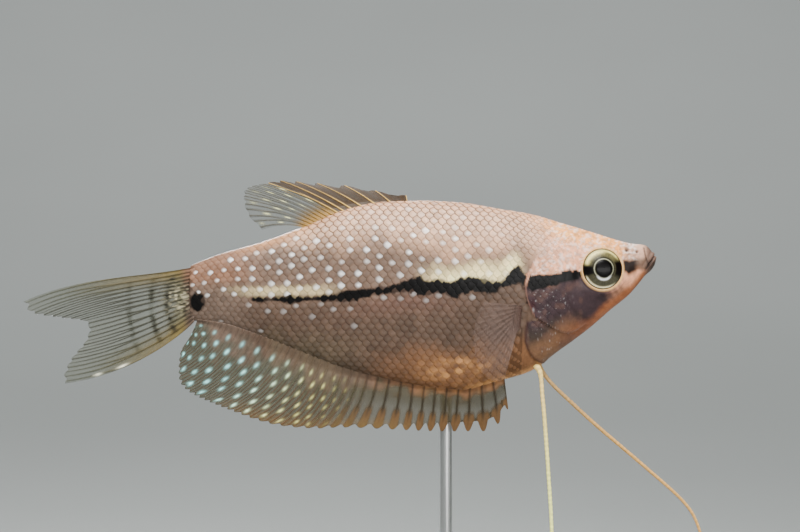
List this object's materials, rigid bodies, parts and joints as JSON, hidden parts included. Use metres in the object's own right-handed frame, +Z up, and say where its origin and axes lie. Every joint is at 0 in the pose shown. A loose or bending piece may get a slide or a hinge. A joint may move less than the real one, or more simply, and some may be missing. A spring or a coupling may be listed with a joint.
{
  "type": "pearl gourami model",
  "caption": "Life-size still model of a pearl gourami with open fins and long thread-like pelvic fins, held by one rod on a flat display base.",
  "frame": {"origin": "on the floor, midway along the model and midway across the stand's base", "axes": "+X towards the head, +Z up, -Y is the fish's right side"},
  "size_m": [0.1037, 0.036, 0.0797],
  "materials": {
    "skin": "moist scaled fish skin, pearly, with fine bump",
    "eye": "clear wet gloss",
    "fin": "thin rayed membrane, satin",
    "thread": "satin",
    "stand_base": "oiled dark wood, satin",
    "stand_rod": "fine brushed"
  },
  "bodies": {
    "root": {"head": "skin", "trunk": "skin", "tail_stalk": "skin", "eye_left": "eye", "eye_right": "eye", "fin_dorsal": "fin", "fin_anal": "fin", "fin_caudal": "fin", "fin_pectoral_left": "fin", "fin_pectoral_right": "fin", "fin_pelvic_left": "thread", "fin_pelvic_right": "thread", "stand_base": "stand_base", "stand_rod": "stand_rod"}
  },
  "joints": []
}
